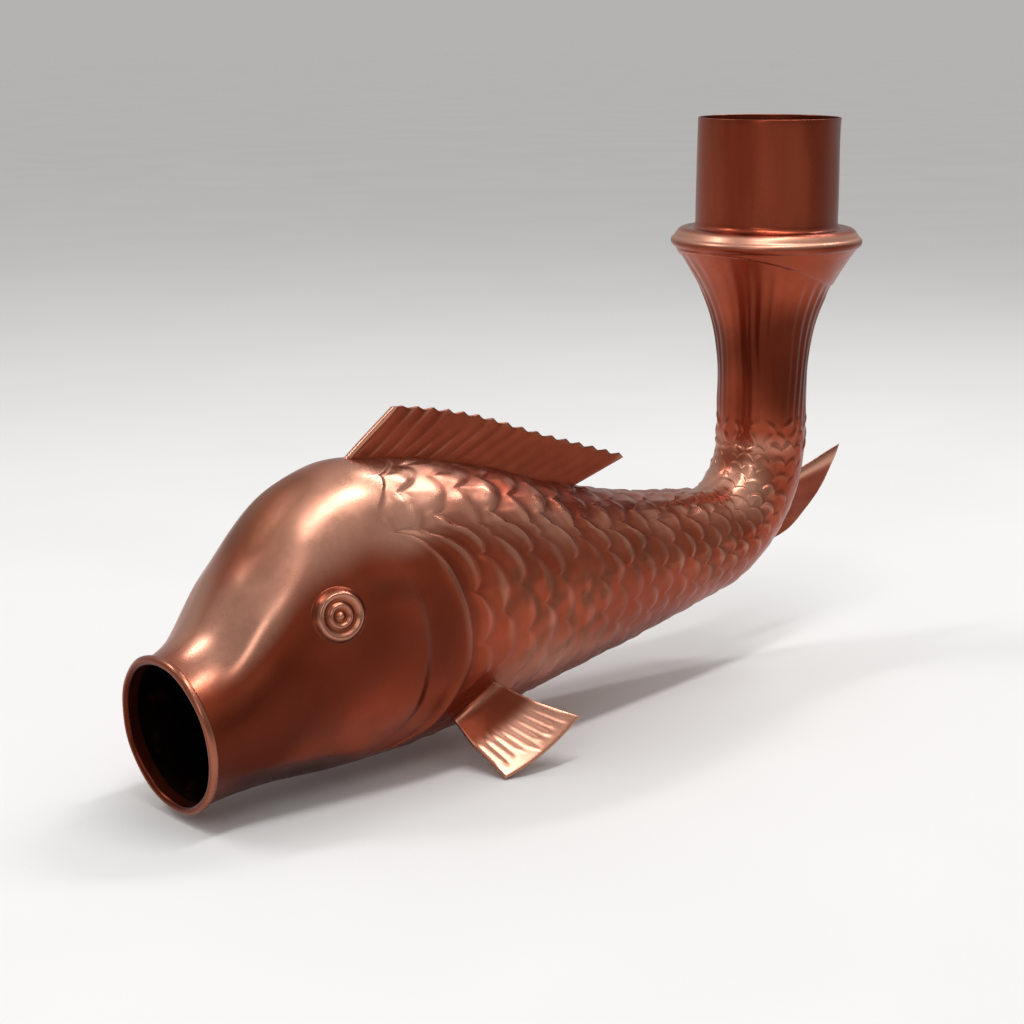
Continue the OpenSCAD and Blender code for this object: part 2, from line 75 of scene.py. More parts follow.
BORE_R = 50.2
BEAD_R = 4.0
FILLET_R = 5.0
FLANGE_ANGLE = 64.0
FLANGE_BULGE = 3.0
NOSE_R = 69.0
NOSE_ANGLE = 75.0
SEAM_R = NOSE_R - BEAD_R * (1 - np.cos(np.radians(NOSE_ANGLE)))
COLLAR_BAND = -COLLAR_H + 2.0
FLARE_H = 100.0
FLARE_POWER = 2.4

LIP_R = 2.8
SLEEVE_L = 4.0
SLEEVE_STEP = 1.8

HEAD_L = 134.0
NAPE_REACH = 44.0
NAPE_SPAN = 40.0
NAPE_H = 1.0
GILL_REACH = 43.0
GILL_MID = 98.0
GILL_SPAN = 46.0
GILL_H = 3.4
GILL_SLOPE = 4.0
CHEEK_H = 1.9
CHEEK_START = 0.58
CHEEK_LINE = 0.81
JAW_H = 2.0
JAW_ANGLE = 100.0
FOLD_H = 1.56
FOLD_ANGLE = 48.0

EYE_AT = 87.0
EYE_ANGLE = 72.0
EYE_R = 18.0

RINGS = 24
SCALE_TAPER = 0.5
SCALE_LIFT = 0.115
EDGE_SHARE = 0.24
SCALLOP_SHARE = 0.7
SCALES_ROUND = 8

RIBS_ROUND = 16
RIB_H = 0.85
FIN_EDGE_DROP = 26.0
FIN_EDGE_STEP = 1.2

PECTORAL_AT = 179.0
PECTORAL_ANGLE = 142.0
PECTORAL_ROOT_L = 27.0
PECTORAL_RISE = 18.0
PECTORAL_L = 57.0
SEAT_R = 9.0
SEAT_HALF_WIDTH = SECTIONS[5, 3]

FACETS_PER_SCALE = 20
COLS = SCALES_ROUND * FACETS_PER_SCALE


def lerp(a, b, t):
    """Straight blend from a to b."""
    return a + (b - a) * t


def clip01(x):
    return np.clip(x, 0, 1)


def ease(x):
    """Soft step from 0 at 0 to 1 at 1."""
    t = clip01(x)
    return t * t * (3 - 2 * t)


def arch(x):
    """Half circle: 1 at 0 and 0 from 1 outward."""
    return np.sqrt(np.maximum(0, 1 - x * x))


def bell(x):
    """Soft bump of height 1 at 0."""
    return np.exp(-x * x)


def through(knots, x):
    """Smooth curve through (place, height) knots that is level at every knot."""
    place, height = np.array(knots).T
    i = np.clip(np.searchsorted(place, x, side="right") - 1, 0, len(place) - 2)
    return lerp(height[i], height[i + 1], ease((x - place[i]) / (place[i + 1] - place[i])))


def ripples(points, wave, seed, count=16):
    """Smooth seeded waves of about the given length through space, mostly within 1."""
    rng = np.random.default_rng(seed)
    ways = rng.normal(size=(count, 3))
    ways /= np.linalg.norm(ways, axis=1, keepdims=True)
    waves = ways * (2 * np.pi / (wave * rng.uniform(0.7, 1.5, count)))[:, None]
    return np.cos(points @ waves.T + rng.uniform(0, 2 * np.pi, count)).sum(-1) / np.sqrt(count)


def section_slopes():
    """Slopes of the three sizes at every section, level at the neck."""
    gaps = np.diff(SECTIONS[:, 0])[:, None]
    rise = np.diff(SECTIONS[:, 1:], axis=0) / gaps
    inner = (rise[:-1] * gaps[1:] + rise[1:] * gaps[:-1]) / (gaps[:-1] + gaps[1:])
    return np.vstack([2 * rise[:1] - inner[:1], inner, 0 * rise[:1]])


SLOPES = section_slopes()


def sizes(s):
    """Back, belly and half width of the shell at the distances s from the mouth."""
    s = np.asarray(s, float)
    at = SECTIONS[:, 0]
    i = np.clip(np.searchsorted(at, s, side="right") - 1, 0, len(at) - 2)
    gap = (at[i + 1] - at[i])[..., None]
    t = clip01((s - at[i])[..., None] / gap)
    curve = ((2 * t ** 3 - 3 * t ** 2 + 1) * SECTIONS[i, 1:]
             + (t ** 3 - 2 * t ** 2 + t) * gap * SLOPES[i]
             + (3 * t ** 2 - 2 * t ** 3) * SECTIONS[i + 1, 1:]
             + (t ** 3 - t ** 2) * gap * SLOPES[i + 1])
    flare = (SEAM_R - NECK_R) * clip01(1 - (PATH_L - s) / FLARE_H) ** FLARE_POWER
    return curve + flare[..., None]


def flank_point(s, a, size):
    """Points of the left flank at distance s and angle a on the given sizes."""
    turn = np.radians(np.clip(PITCH + np.degrees((s - BODY_L) / BEND_R), PITCH, 90))
    start = np.radians(PITCH)
    straight = np.minimum(s, BODY_L) - BODY_L
    x = -BEND_R + BEND_R * np.sin(turn) + straight * np.cos(start)
    z = NECK_Z - BEND_R * np.cos(turn) + straight * np.sin(start) + np.maximum(0, s - SCALES_END)
    a = np.radians(a)
    back, belly, half = size[..., 0], size[..., 1], size[..., 2]
    off = (back - belly) / 2 + (back + belly) / 2 * np.cos(a)
    return np.stack([x - np.sin(turn) * off, -half * np.sin(a), z + np.cos(turn) * off], -1)


def skin(s, a, e=0.0):
    """Points of the outer face, raised by e."""
    s, a, e = np.broadcast_arrays(np.asarray(s, float), a, e)
    return flank_point(s, a, sizes(s) + e[..., None])


def lining(s, a):
    """Points of the inner face, one sheet inward."""
    s, a = np.broadcast_arrays(np.asarray(s, float), a)
    low = np.maximum(0, s - 1)
    grow = (sizes(s + 1) - sizes(low)) / (s + 1 - low)[..., None]
    return flank_point(s, a, sizes(s) - SHEET * np.sqrt(1 + grow ** 2))


# Relief of the shell

def head_reach(a):
    """How far the nape and the gill cover reach behind the edge between them."""
    gill = GILL_REACH * arch((a - GILL_MID) / GILL_SPAN)
    return gill + NAPE_REACH * np.maximum(0, 1 - a / NAPE_SPAN)


def head_edge(a):
    """Distance from the mouth where the head ends and the scales begin."""
    return HEAD_L + head_reach(a)


def ring_at(i, a):
    """Distance from the mouth of the line between scale rings i and i + 1."""
    step = SCALE_TAPER ** (1 / RINGS)
    t = (1 - step ** i) / (1 - step ** RINGS)
    return lerp(HEAD_L, SCALES_END, t) + head_reach(a) * (1 - t) ** 2


def seat(s, a):
    """0 where a pectoral fin is soldered on and the relief is pressed flat, else 1."""
    u = clip01((s - PECTORAL_AT) / PECTORAL_ROOT_L)
    off_s = s - PECTORAL_AT - u * PECTORAL_ROOT_L
    off_a = np.radians(a - PECTORAL_ANGLE + u * PECTORAL_RISE) * SEAT_HALF_WIDTH
    return 1 - bell(np.hypot(off_s, off_a) / SEAT_R)


def head_relief(t, a):
    """Folds, jaw, cheek, gill cover and nape at share t of the head's length."""
    s = t * head_edge(a)
    on_gill = ease((a - 50) / 20) * ease((160 - a) / 26)
    on_line = ease((a - 58) / 20) * ease((138 - a) / 20)
    behind = (t - CHEEK_LINE) / (1 - CHEEK_LINE)
    cheek = on_line * CHEEK_H * ease((t - CHEEK_START) / (CHEEK_LINE - CHEEK_START))
    cover = on_gill * GILL_H * lerp(0.12, 1, clip01(behind) ** 1.2)
    past_line = ease((t - CHEEK_LINE + 0.010) / 0.045)
    cover = lerp(on_gill * GILL_H * 0.12 * ease((t - CHEEK_START) / 0.2), cover, past_line)
    rim = on_gill * (0.5 * bell((t - 0.982) / 0.012) - 0.25 * bell((t - 0.945) / 0.02))
    nape = NAPE_H * ease((52 - a) / 14) * clip01(behind) ** 2
    fade = ease(s / 45) * ease((1.45 * HEAD_L * CHEEK_LINE - s) / 55)
    jaw = JAW_H * bell((a - JAW_ANGLE - 50 * np.sqrt(s / 160)) / 8)
    crest = FOLD_ANGLE + 6 * ease((s - 60) / 30)
    valleys = 0.2 * bell((a - crest + 16) / 9) + 0.25 * bell((a - crest - 17) / 10)
    fold = FOLD_H * (bell((a - crest) / 11) - valleys) * ease((94 - s) / 54)
    return cheek * (1 - past_line) + cover + rim + nape + fade * (jaw + fold)


def scale_fields(i, rng):
    """Ring i of scales over the columns: the distance of its free edge from the mouth,
    the height of its scales, its length, and how much they are plump pillows."""
    warp = 0.11 * ripples(np.stack([ANGLES, 0 * ANGLES + 37 * i, 0 * ANGLES], -1), 60, 51)
    u = np.arange(COLS + 1) / FACETS_PER_SCALE + 0.5 * (i % 2) + warp
    k = np.clip(np.floor(u).astype(int), 0, SCALES_ROUND + 1)
    x = 2 * (u - k) - 1
    wild = lerp(1, 1.5, ease((i - 14) / 8))
    count = SCALES_ROUND + 2
    lift = 1 + wild * 0.38 * rng.uniform(-1, 1, count)[k]
    reach = 1 + wild * 0.07 * rng.uniform(-1, 1, count)[k]
    tilt = wild * 0.32 * rng.uniform(-1, 1, count)[k]
    scallop = arch(0.96 * x)
    length = ring_at(i, ANGLES) - ring_at(i - 1, ANGLES)
    edge = ring_at(i - 1, ANGLES) + length * (1 - SCALLOP_SHARE * (1 - scallop * reach))
    worn = lerp(1, 0.42, ease((ANGLES - 86) / 36)) * lerp(1, 0.85, ease((i - 3) / 8))
    worn = worn * (1 - 0.6 * bell((ANGLES - 82) / 22) * bell((i - 6) / 5))
    worn = worn * (1 - 0.6 * bell((i - 20) / 3.5) * ease((64 - ANGLES) / 30))
    worn = worn * lerp(1, 0.5, ease((i - 21) / 3))
    plump = ease((62 - ANGLES) / 30) * ease((7 - i) / 5)
    low = lerp(0.34, -0.25, plump)
    worn = worn * lerp(1, 0.62, plump)
    height = worn * SCALE_LIFT * length * lerp(low, lift * (1 + tilt * x), scallop)
    return edge, height, length, plump


# Height along one scale from front to rear: overlapping scales and plump pillows
PLATE = ((0, 0), (0.86, 1.0), (1.02, 0.88))
PILLOW = ((0, 0), (0.62, 1.0), (1.06, 0.45))


ANGLES = np.linspace(0, 180, COLS + 1)
HEAD_SHARES = np.concatenate([
    np.linspace(0, 0.77, 64), np.linspace(0.78, 0.85, 15), np.linspace(0.862, 0.95, 11),
    np.linspace(0.956, 1, 10),
])
SCALE_SHARES = np.array([0.12, 0.3, 0.46, 0.6, 0.7, 0.78, 0.85, 0.91, 0.96, 1])
# Slope behind a free edge: share of its length, then share of the height that is left
EDGE_STEPS = ((0.13, 0.95), (0.28, 0.8), (0.44, 0.55), (0.6, 0.3), (0.78, 0.1), (1.0, 0.0))
TAIL_SHARES = np.linspace(0, 1, 84) ** 0.95
FIN_EDGE_STEPS = ((0, 0), (0.05, 0.7), (0.1, 1), (0.2, 1), (0.4, 0.8), (0.6, 0.5), (0.8, 0.2),
                  (1, 0))


# Petals: distance of each row from the mouth and their number; half length, half width
LEAF_ROWS = ((557, 8), (565.5, 9), (574, 8))
LEAF_L = 6.5
LEAF_W = 2.6


def leaf_marks(s, a, seed):
    """Small petals where the scales run out into the ribs of the tail."""
    rng = np.random.default_rng(seed)
    relief = np.zeros(s.shape)
    for row, (at, count) in enumerate(LEAF_ROWS):
        for j in range(count):
            mid_s = at + rng.uniform(-1.5, 1.5)
            mid_a = 180 * (j + 0.5) / count + rng.uniform(-3, 3)
            turn = (1 if (j + row) % 2 else -1) * rng.uniform(0.6, 1.1)
            du = s - mid_s
            dv = np.radians(a - mid_a) * NECK_R
            along = du * np.cos(turn) + dv * np.sin(turn)
            across = dv * np.cos(turn) - du * np.sin(turn) + 0.03 * along ** 2
            inside = 1 - (along / LEAF_L) ** 2 - (across / LEAF_W) ** 2
            relief = np.maximum(relief, rng.uniform(0.8, 1.2) * np.maximum(0, inside))
    return relief


def tail_relief(t, s, a, seed):
    """Irregular flutes of the tail fin and the step at its edge."""
    place = np.stack(np.broadcast_arrays(a * 0.6, s, 0), -1)
    phase = a / 180 * RIBS_ROUND + 0.16 * ripples(place, 80, seed)
    rib = 0.5 - 0.5 * np.cos(2 * np.pi * phase)
    depth = lerp(0.6, 1.3, clip01(0.5 + 0.6 * ripples(place, 45, seed + 1)))
    strength = lerp(0.6, 1, ease((s - SCALES_END - 30) / 60))
    strength = strength * lerp(1, 0.3, ease((t - 0.9) / 0.1))
    return RIB_H * rib * depth * strength * ease(t / 0.2) * lerp(0.35, 1, ease((a - 12) / 24))


def shell_rows(seed):
    """Distance from the mouth and relief of every row and column of the outer face."""
    rng = np.random.default_rng(seed)
    a = ANGLES
    between = arch(2 * ((a / 180 * SCALES_ROUND) % 1) - 1)
    notch = 6 * (1 - between) * ease((50 - a) / 12)
    rows = [(t * head_edge(a) - notch * t ** 6, head_relief(t, a)) for t in HEAD_SHARES]
    foot, drop = head_edge(a) - notch, head_relief(1, a)
    slope = GILL_SLOPE * np.ones(COLS + 1)
    before = drop
    for i in range(1, RINGS + 1):
        for w, share in EDGE_STEPS:
            rows.append((foot + w * slope, before * share))
        start = foot + slope
        edge, height, length, plump = scale_fields(i, rng)
        edge = np.maximum(edge, start + 0.05 * length)
        for v in SCALE_SHARES:
            plate = 0.5 * v + 0.5 * through(PLATE, v)
            rows.append((lerp(start, edge, v), height * lerp(plate, through(PILLOW, v), plump)))
        foot, before, slope = edge, rows[-1][1], EDGE_SHARE * length
    for w, share in EDGE_STEPS:
        rows.append((foot + w * slope, before * share))
    fin_edge = PATH_L - 3 - FIN_EDGE_DROP * ease((a - 15) / 110)
    for t in TAIL_SHARES:
        s = lerp(SCALES_END + 3, fin_edge, t)
        rows.append((s, tail_relief(t, s, a, seed + 20)))
    for t, share in FIN_EDGE_STEPS:
        rows.append((lerp(fin_edge + 0.8, PATH_L, t), FIN_EDGE_STEP * share + 0 * a))
    s = np.array([row[0] for row in rows])
    e = np.array([row[1] for row in rows])
    on_scales = (s > head_edge(a) + 1) & (s < fin_edge + 1)
    fade = np.minimum(1, np.minimum(a, 180 - a) / 9)
    keep = np.where(on_scales, fade, np.minimum(1, 0.3 + fade)) * seat(s, a)
    soft = soften(soften(e, 1, 2), 2, 1)
    e = lerp(e, soft, ease((s - head_edge(a) - 4) / 6) * ease((SCALES_END - s) / 10))
    e = e * keep + leaf_marks(s, a, seed + 30) * fade
    return s, e


# Painted sheen where the lamps' highlights fall (above 0) and painted shade on shaded zones such
# as the cheek, jaw, gill and neck (below 0), partly real polish and tarnish: distance from the
# mouth, angle, reach along, reach round, strength
SHEEN_AND_SHADE_SPOTS = (
    (28, 20, 32, 28, 1.0), (105, 30, 40, 26, 1.0), (165, 30, 34, 26, 0.8),
    (50, 50, 40, 15, 0.6), (138, 54, 24, 12, 0.6), (465, 20, 46, 26, 1.0),
    (515, 38, 34, 34, 1.0), (395, 34, 62, 24, 0.55), (270, 124, 60, 16, 0.45),
    (250, 46, 70, 20, 0.4), (192, 6, 40, 12, 0.7), (560, 50, 12, 60, 0.6),
    (30, 102, 50, 36, -1.5), (115, 92, 34, 22, -0.8), (160, 96, 26, 30, -0.8),
    (60, 156, 60, 20, -0.8), (620, 112, 60, 60, -0.9), (625, 40, 50, 50, -0.75),
)
# Brown stains: distance from the mouth, angle, radius in millimetres
STAINS = ((262, 96, 34), (300, 92, 26), (232, 84, 22), (355, 70, 30), (430, 90, 30),
          (104, 6, 14), (91, 6, 14), (78, 8, 14), (65, 9, 13))


def shell_sheen_and_shade(s, a):
    """Painted sheen and shade of the shell, partly real polish and tarnish, at every row and
    column.
    """
    place = np.stack(np.broadcast_arrays(s, a * 1.1, 0), -1)
    wear_and_painted_light = 0.12 * ripples(place, 55, 41)
    for at, angle, along, around, strength in SHEEN_AND_SHADE_SPOTS:
        wear_and_painted_light = wear_and_painted_light + strength * bell((s - at) / along) * bell((a - angle) / around)
    return np.clip(wear_and_painted_light, -1, 1)


def shell_stain(s, a):
    """Brown stains of the shell at every row and column."""
    place = np.stack(np.broadcast_arrays(s, a * 1.1, 0), -1)
    rough_edge = 0.5 + 0.5 * ripples(place, 12, 43)
    stain = sum(bell(np.hypot(s - at, (a - angle) * 1.1) / r) for at, angle, r in STAINS)
    return clip01(stain * lerp(rough_edge, 1, ease((150 - s) / 20)))


def soften(values, rows, cols):
    """Mean of a grid of values over windows of so many rows and columns each way."""
    for axis, n in ((0, rows), (1, cols)):
        pad = [(n + 1, n) if k == axis else (0, 0) for k in range(2)]
        total = np.cumsum(np.pad(values, pad, mode="edge"), axis=axis)
        hi = np.take(total, range(2 * n + 1, total.shape[axis]), axis=axis)
        lo = np.take(total, range(0, total.shape[axis] - 2 * n - 1), axis=axis)
        values = (hi - lo) / (2 * n + 1)
    return values


# Mesh helpers

def grid_quads(rows, cols, base=0, flip=False, wrap=False):
    """Quads of a grid of points whose first index is base."""
    r, c = np.meshgrid(np.arange(rows - 1), np.arange(cols if wrap else cols - 1), indexing="ij")
    nxt = (c + 1) % cols
    quads = np.stack([r * cols + c, r * cols + nxt, (r + 1) * cols + nxt, (r + 1) * cols + c], -1)
    quads = quads.reshape(-1, 4) + base
    return (quads[:, ::-1] if flip else quads).tolist()


def stitch(u, v, flip):
    """Triangles between two lines of (index, distance) that run the same way."""
    faces, i, j = [], 0, 0
    while i < len(u) - 1 or j < len(v) - 1:
        on_u = j == len(v) - 1 or (i < len(u) - 1 and u[i + 1][1] <= v[j + 1][1])
        if on_u:
            faces.append([u[i][0], u[i + 1][0], v[j][0]])
            i += 1
        else:
            faces.append([u[i][0], v[j + 1][0], v[j][0]])
            j += 1
    return [face[::-1] for face in faces] if flip else faces


def add_piece(node, points, faces, material, tone=None, wear_and_painted_light=None, sharp=50):
    """A piece from points in millimetres that rides on the root and replaces a node.
    tone is high on crests; the other values are 1 for polish and painted sheen and -1 for tarnish
    and painted shade."""
    name = node + "_fine"
    mesh = bpy.data.meshes.new(name)
    mesh.from_pydata((np.asarray(points).reshape(-1, 3) * MM).tolist(), [], faces)
    mesh.polygons.foreach_set("use_smooth", [True] * len(mesh.polygons))
    mesh.set_sharp_from_angle(angle=np.radians(sharp))
    for key, values in (("tone", tone), ("wear_and_painted_light", wear_and_painted_light)):
        if values is not None:
            full = np.zeros(len(mesh.vertices))
            full[:values.size] = values.ravel()
            mesh.attributes.new(key, "FLOAT", "POINT").data.foreach_set("value", full)
    mesh.materials.append(material)
    mesh.validate()
    piece = bpy.data.objects.new(name, mesh)
    bpy.context.scene.collection.objects.link(piece)
    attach(piece, "root")
    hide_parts(node)
    return piece


def revolve(profile, segments):
    """Points of a closed profile of (radius, height) turned about Z."""
    turn = np.linspace(0, 2 * np.pi, segments, endpoint=False)
    profile = np.vstack([profile, profile[:1]])
    r, z = profile[:, :1], profile[:, 1:]
    points = np.stack([r * np.cos(turn), r * np.sin(turn), z + 0 * turn], -1)
    return points


def unit(angle):
    """Unit vector at an angle in degrees."""
    return np.array([np.cos(np.radians(angle)), np.sin(np.radians(angle))])


def arc(x, y, r, a, b, n):
    """Points of an arc from angle a to angle b."""
    turn = np.radians(np.linspace(a, b, n + 1))
    return np.stack([x + r * np.cos(turn), y + r * np.sin(turn)], -1)


def refine(profile, step):
    """The profile with extra points, so that no side is longer than step."""
    out = [profile[0]]
    for p, q in zip(profile[:-1], profile[1:]):
        n = max(1, int(np.ceil(np.hypot(*(q - p)) / step)))
        out += [lerp(p, q, k / n) for k in range(1, n + 1)]
    return np.array(out)


# Copper

def node_of(tree, kind, **values):
    """A new node with its properties set."""
    node = tree.nodes.new(kind)
    for key, value in values.items():
        setattr(node, key, value)
    return node


def noise(tree, coords, size_mm, detail=3.0, roughness=0.55, stretch=(1, 1, 1)):
    """Noise whose features are about size_mm wide, between 0 and 1."""
    mapping = node_of(tree, "ShaderNodeMapping")
    mapping.inputs["Scale"].default_value = stretch
    texture = node_of(tree, "ShaderNodeTexNoise")
    texture.inputs["Scale"].default_value = 1 / (size_mm * MM)
    texture.inputs["Detail"].default_value = detail
    texture.inputs["Roughness"].default_value = roughness
    tree.links.new(coords, mapping.inputs["Vector"])
    tree.links.new(mapping.outputs["Vector"], texture.inputs["Vector"])
    return texture.outputs["Fac"]


def ranged(tree, value, lo, hi, out_lo, out_hi):
    """A value eased from the range lo to hi into the range out_lo to out_hi."""
    node = node_of(tree, "ShaderNodeMapRange", interpolation_type="SMOOTHSTEP")
    limits = {"From Min": lo, "From Max": hi, "To Min": out_lo, "To Max": out_hi}
    for key, number in limits.items():
        node.inputs[key].default_value = number
    tree.links.new(value, node.inputs["Value"])
    return node.outputs["Result"]


def summed(tree, a, b, operation="ADD"):
    """Sum of two sockets or numbers, or the result of another operation."""
    node = node_of(tree, "ShaderNodeMath", operation=operation)
    for socket, value in zip(node.inputs, (a, b)):
        if isinstance(value, (int, float)):
            socket.default_value = value
        else:
            tree.links.new(value, socket)
    return node.outputs[0]


def mixed(tree, factor, a, b):
    """Blend of two colours, each a socket or a tuple."""
    node = node_of(tree, "ShaderNodeMix", data_type="RGBA", blend_type="MIX")
    tree.links.new(factor, node.inputs[0])
    for socket, value in ((node.inputs[6], a), (node.inputs[7], b)):
        if isinstance(value, tuple):
            socket.default_value = (*value, 1)
        else:
            tree.links.new(value, socket)
    return node.outputs[2]


# Pale polished copper, also used as painted sheen where highlights fall
POLISH_AND_SHEEN = (0.62, 0.31, 0.215)
# Dark tarnish, also used as painted shade
TARNISH_AND_SHADE = (0.085, 0.014, 0.006)
BROWN = (0.19, 0.061, 0.029)
STAINED = (0.165, 0.062, 0.030)


def copper(name, light, deep, rough, grain=(1, 1, 1), bump=0.012, coat=0.03, polish=-0.03):
    """Copper with a pale sheen painted on crests and polished zones, shade painted deeper and
    redder into recesses and tarnished zones, and brown tarnish.
    """
    material = bpy.data.materials.new(name)
    material.use_nodes = True
    tree = material.node_tree
    shader = tree.nodes["Principled BSDF"]
    coords = node_of(tree, "ShaderNodeTexCoord").outputs["Object"]
    tone = node_of(tree, "ShaderNodeAttribute", attribute_name="tone").outputs["Fac"]
    wear_and_painted_light = node_of(tree, "ShaderNodeAttribute", attribute_name="wear_and_painted_light").outputs["Fac"]
    stain = node_of(tree, "ShaderNodeAttribute", attribute_name="stain").outputs["Fac"]
    broad = noise(tree, coords, 70, 4, 0.6, grain)
    patches = noise(tree, coords, 22, 5, 0.62, grain)
    specks = noise(tree, coords, 3.5, 3, 0.6, grain)
    hairs = noise(tree, coords, 1.2, 2, 0.5, grain)

    colour = mixed(tree, ranged(tree, broad, 0.35, 0.65, 0, 1), deep, light)
    colour = mixed(tree, ranged(tree, patches, 0.52, 0.78, 0, 0.4), colour, BROWN)
    # Crests are painted toward pale polished copper: painted highlight, partly real polish.
    colour = mixed(tree, ranged(tree, tone, 0.1, 0.9, 0, 0.5), colour, POLISH_AND_SHEEN)
    # Painted sheen on zones marked above 0 and painted shade on those below 0, partly real polish
    # and tarnish.
    colour = mixed(tree, ranged(tree, wear_and_painted_light, 0.0, 1.0, 0, 0.85), colour, POLISH_AND_SHEEN)
    shade = summed(tree, wear_and_painted_light, -1, "MULTIPLY")
    colour = mixed(tree, ranged(tree, shade, 0.0, 1.0, 0, 0.9), colour, TARNISH_AND_SHADE)
    colour = mixed(tree, summed(tree, stain, 0.65, "MULTIPLY"), colour, STAINED)
    # Recesses are painted deeper and darker: painted shade.
    recess_shade = ranged(tree, summed(tree, tone, -1, "MULTIPLY"), 0.15, 1.1, 0, 0.6)
    colour = mixed(tree, recess_shade, colour, tuple(0.45 * v for v in deep))
    tree.links.new(colour, shader.inputs["Base Color"])

    spread = summed(tree, ranged(tree, patches, 0.3, 0.75, rough[0], rough[1]),
                    ranged(tree, specks, 0.3, 0.8, -0.02, 0.03))
    spread = summed(tree, spread, ranged(tree, tone, -0.9, 0.9, 0.05, -0.05))
    spread = summed(tree, spread, ranged(tree, wear_and_painted_light, -1.0, 0.0, 0.02, 0.0))
    spread = summed(tree, spread, ranged(tree, wear_and_painted_light, 0.0, 1.0, 0.0, polish))
    spread = summed(tree, spread, summed(tree, stain, 0.18, "MULTIPLY"))
    tree.links.new(spread, shader.inputs["Roughness"])
    shader.inputs["Metallic"].default_value = 1.0
    shader.inputs["Coat Weight"].default_value = coat
    shader.inputs["Coat Roughness"].default_value = 0.3

    height = summed(tree, specks, summed(tree, hairs, 0.35, "MULTIPLY"))
    pits = node_of(tree, "ShaderNodeBump")
    pits.inputs["Strength"].default_value = bump
    pits.inputs["Distance"].default_value = 0.25 * MM
    tree.links.new(height, pits.inputs["Height"])
    tree.links.new(pits.outputs["Normal"], shader.inputs["Normal"])
    return material


BODY_COPPER = copper("body_copper", (0.345, 0.068, 0.031), (0.275, 0.047, 0.020), (0.28, 0.38))
COLLAR_COPPER = copper("collar_copper", (0.31, 0.064, 0.030), (0.21, 0.034, 0.015),
                       (0.27, 0.38), grain=(1, 1, 0.16), polish=0.05)
RIM_COPPER = copper("rim_copper", (0.29, 0.070, 0.034), (0.21, 0.046, 0.022), (0.25, 0.34))
FIN_COPPER = copper("fin_copper", (0.28, 0.057, 0.026), (0.21, 0.038, 0.017), (0.28, 0.38))
# Near-black copper for the insides: painted shade.
INNER_SHADE = copper("inner_painted_shade", (0.012, 0.005, 0.003), (0.007, 0.003, 0.002),
                      (0.50, 0.70), coat=0.0)


# Pieces

# Rows of the lining along the body and along the tail, and its columns round a half
LINING_ROWS = (60, 44)
LINING_COLS = 25


def add_half(name, side, seed):
    """One pressed half of the shell. side is -1 for the left and 1 for the right."""
    s, e = shell_rows(seed)
    rest = skin(s, ANGLES)
    rest[..., 1] *= -side
    scaled = ease((s - head_edge(ANGLES)) / 10) * ease((SCALES_END - s) / 20)
    smooth_zone = 1 - 0.55 * ease((s - head_edge(ANGLES)) / 10)
    swell = 0.28 * ripples(rest, 60, 3) + 0.1 * ripples(rest, 24, 4)
    swell = swell + scaled * (0.30 * ripples(rest, 17, 8) + 0.10 * ripples(rest, 9, 9))
    ends = ease(s / 12) * ease((PATH_L - s) / 12)
    swell = swell * smooth_zone * ends * seat(s, ANGLES)
    outer = skin(s, ANGLES, np.maximum(e + swell, -0.5 * SHEET))
    stations = np.concatenate([np.linspace(0, 1, LINING_ROWS[0]) ** 1.15 * BODY_L,
                               np.linspace(BODY_L, PATH_L, LINING_ROWS[1])[1:]])
    turns = np.linspace(0, 180, LINING_COLS)
    inner = lining(stations[:, None], turns[None, :])
    rows, cols = s.shape
    n_in = len(turns)
    base = rows * cols
    last = len(stations) - 1

    def outer_line(c):
        return [(r * cols + c, s[r, c]) for r in range(rows)]

    def inner_line(c):
        return [(base + r * n_in + c, stations[r]) for r in range(last + 1)]

    def outer_end(r):
        return [(r * cols + c, c / (cols - 1)) for c in range(cols)]

    def inner_end(r):
        return [(base + r * n_in + c, c / (n_in - 1)) for c in range(n_in)]

    faces = (grid_quads(rows, cols, flip=True) + grid_quads(last + 1, n_in, base)
             + stitch(outer_line(0), inner_line(0), True)
             + stitch(outer_line(cols - 1), inner_line(n_in - 1), False)
             + stitch(outer_end(0), inner_end(0), False)
             + stitch(outer_end(rows - 1), inner_end(last), True))
    points = np.vstack([outer.reshape(-1, 3), inner.reshape(-1, 3)])
    if side > 0:
        points[:, 1] *= -1
        faces = [face[::-1] for face in faces]
    # Crests and recesses of the relief, later painted pale and dark: painted highlight and shade.
    tone = (e - soften(e, 9, 7)) * lerp(1, 0.45, ease((s - SCALES_END - 14) / 20))
    tone = tone * lerp(0.5, 1, scaled) * lerp(1, 0.6, ease((ANGLES - 84) / 30))
    # Painted sheen and shade, partly real polish and tarnish.
    wear_and_painted_light = shell_sheen_and_shade(s, ANGLES)
    piece = add_piece(name, points, faces, BODY_COPPER, tone, wear_and_painted_light, 65)
    stain = np.zeros(len(piece.data.vertices))
    stain[:s.size] = shell_stain(s, ANGLES).ravel()
    piece.data.attributes.new("stain", "FLOAT", "POINT").data.foreach_set("value", stain)
    # The inside faces are painted near-black: painted shade.
    piece.data.materials.append(INNER_SHADE)
    outer_faces = (rows - 1) * (cols - 1)
    inner_faces = last * (n_in - 1)
    slots = np.zeros(len(piece.data.polygons), int)
    slots[outer_faces:outer_faces + inner_faces] = 1
    piece.data.polygons.foreach_set("material_index", slots)
    return piece


